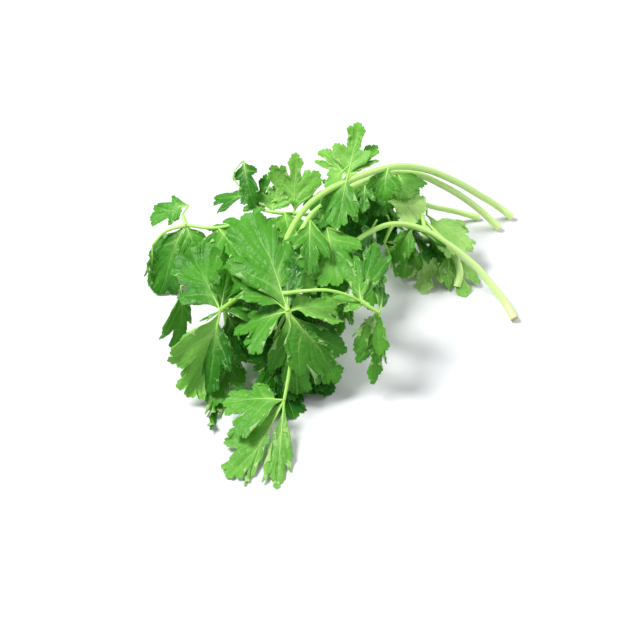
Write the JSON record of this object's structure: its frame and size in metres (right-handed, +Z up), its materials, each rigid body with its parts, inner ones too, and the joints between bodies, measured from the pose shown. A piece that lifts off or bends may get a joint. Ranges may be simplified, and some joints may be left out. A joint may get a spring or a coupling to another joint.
{
  "type": "coriander bunch",
  "caption": "Loose bunch of cut coriander lying on its side, pale stems at one end and lobed toothed leaves at the other.",
  "frame": {"origin": "middle of the bunch's footprint, on the surface it lies on", "axes": "+X along the bunch towards the cut ends of the stems, +Y across it, +Z up"},
  "size_m": [0.2392, 0.1773, 0.0625],
  "materials": {
    "herb": "satin"
  },
  "bodies": {
    "root": {"sprig_front": "herb", "sprig_left": "herb", "sprig_far_left": "herb", "sprig_back_left": "herb", "sprig_back": "herb", "sprig_centre": "herb", "sprig_right": "herb"}
  },
  "joints": []
}
